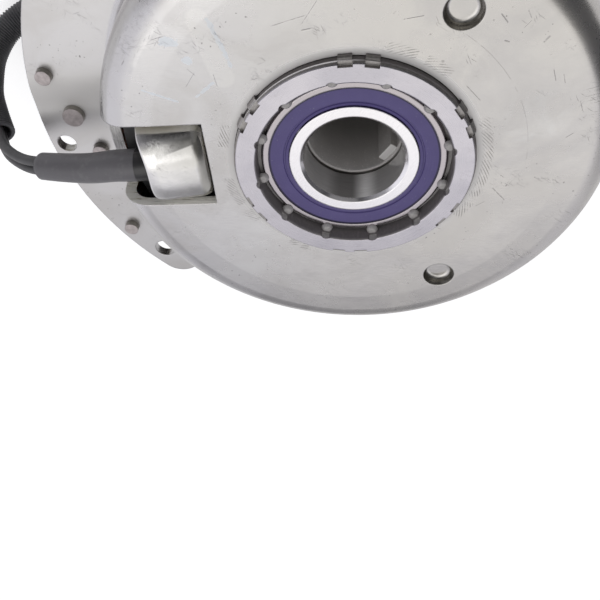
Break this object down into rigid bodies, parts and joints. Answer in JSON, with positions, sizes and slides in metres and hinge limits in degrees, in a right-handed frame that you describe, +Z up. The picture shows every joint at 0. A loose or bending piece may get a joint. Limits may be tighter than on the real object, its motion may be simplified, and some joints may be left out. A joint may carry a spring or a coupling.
{
  "type": "electric pto clutch",
  "caption": "Electric power take-off clutch: field coil shell with a lead, a stop lobe and a brake, over a keyed rotor hub, a sprung armature and a V-belt pulley.",
  "frame": {"origin": "on the shaft's axis, in the plane of the pulley's and the hub's lower faces", "axes": "+Z up the shaft's axis towards the field coil's face, +X towards the lead's window, so the stop lobe lies on the +X side"},
  "size_m": [0.2195, 0.1827, 0.085],
  "materials": {
    "shell_steel": "satin zinc",
    "hood_steel": "bright satin",
    "ring_steel": "machined",
    "bobbin_plastic": "matt",
    "coil_copper": "enamelled wire",
    "potting_resin": "matt",
    "pin_steel": "satin",
    "plate_steel": "satin zinc",
    "lining": "friction material",
    "bearing_steel": "ground",
    "bearing_seal": "satin",
    "bearing_cage": "pressed",
    "rotor_iron": "grainy machined",
    "snap_steel": "black oxide",
    "pulley_steel": "satin zinc",
    "leaf_steel": "blued",
    "armature_iron": "machined",
    "sleeve_vinyl": "soft sheen",
    "wire_vinyl": "soft sheen",
    "conduit_plastic": "ribbed",
    "connector_plastic": "matt",
    "connector_rubber": "satin",
    "contact_brass": "bright"
  },
  "bodies": {
    "field": {"field_shell": "shell_steel", "pole_ring": "ring_steel", "coil_bobbin": "bobbin_plastic", "coil_winding": "coil_copper", "coil_potting": "potting_resin", "lead_hood": "hood_steel", "brake_pins": "pin_steel", "brake_stud": "pin_steel", "brake_spacers": "pin_steel", "stud_spacer": "pin_steel", "brake_plate": "plate_steel", "brake_lining": "lining", "upper_outer_race": "bearing_steel", "upper_seal_top": "bearing_seal", "upper_seal_bottom": "bearing_seal", "lead_sleeve": "sleeve_vinyl", "lead_wires": "wire_vinyl", "lead_conduit": "conduit_plastic", "connector_body": "connector_plastic", "connector_seal": "connector_rubber", "connector_contacts": "contact_brass"},
    "rotor": {"rotor": "rotor_iron", "friction_ring": "lining", "lower_inner_race": "bearing_steel", "hub_snap_ring": "snap_steel", "upper_inner_race": "bearing_steel"},
    "upper_cage": {"upper_balls": "bearing_steel", "upper_cage": "bearing_cage"},
    "lower_cage": {"lower_balls": "bearing_steel", "lower_cage": "bearing_cage"},
    "pulley": {"pulley": "pulley_steel", "lower_outer_race": "bearing_steel", "lower_seal_top": "bearing_seal", "lower_seal_bottom": "bearing_seal", "pulley_snap_ring": "snap_steel", "leaf_springs": "leaf_steel", "leaf_rivets": "pin_steel"},
    "armature": {"armature": "armature_iron", "armature_rivets": "pin_steel"}
  },
  "joints": [
    {"name": "rotor_spin", "type": "hinge", "parent": "field", "child": "rotor", "pos_m": [0, 0, 0.0735], "axis": [0, 0, 1], "continuous": true},
    {"name": "pulley_spin", "type": "hinge", "parent": "rotor", "child": "pulley", "pos_m": [0, 0, 0.0195], "axis": [0, 0, 1], "continuous": true},
    {"name": "armature_shift", "type": "slide", "parent": "pulley", "child": "armature", "axis": [0, 0, 1], "range_m": [0, 0.00035], "stiffness_N_per_m": 20000, "springref_m": -0.001, "deforming": ["leaf_springs"]},
    {"name": "upper_cage_spin", "type": "hinge", "parent": "field", "child": "upper_cage", "pos_m": [0, 0, 0.0735], "axis": [0, 0, 1], "continuous": true},
    {"name": "lower_cage_spin", "type": "hinge", "parent": "rotor", "child": "lower_cage", "pos_m": [0, 0, 0.0195], "axis": [0, 0, 1], "continuous": true}
  ],
  "couplings": [
    {"joint": "upper_cage_spin", "follows": "rotor_spin", "ratio": 0.4066},
    {"joint": "lower_cage_spin", "follows": "pulley_spin", "ratio": 0.5735}
  ]
}
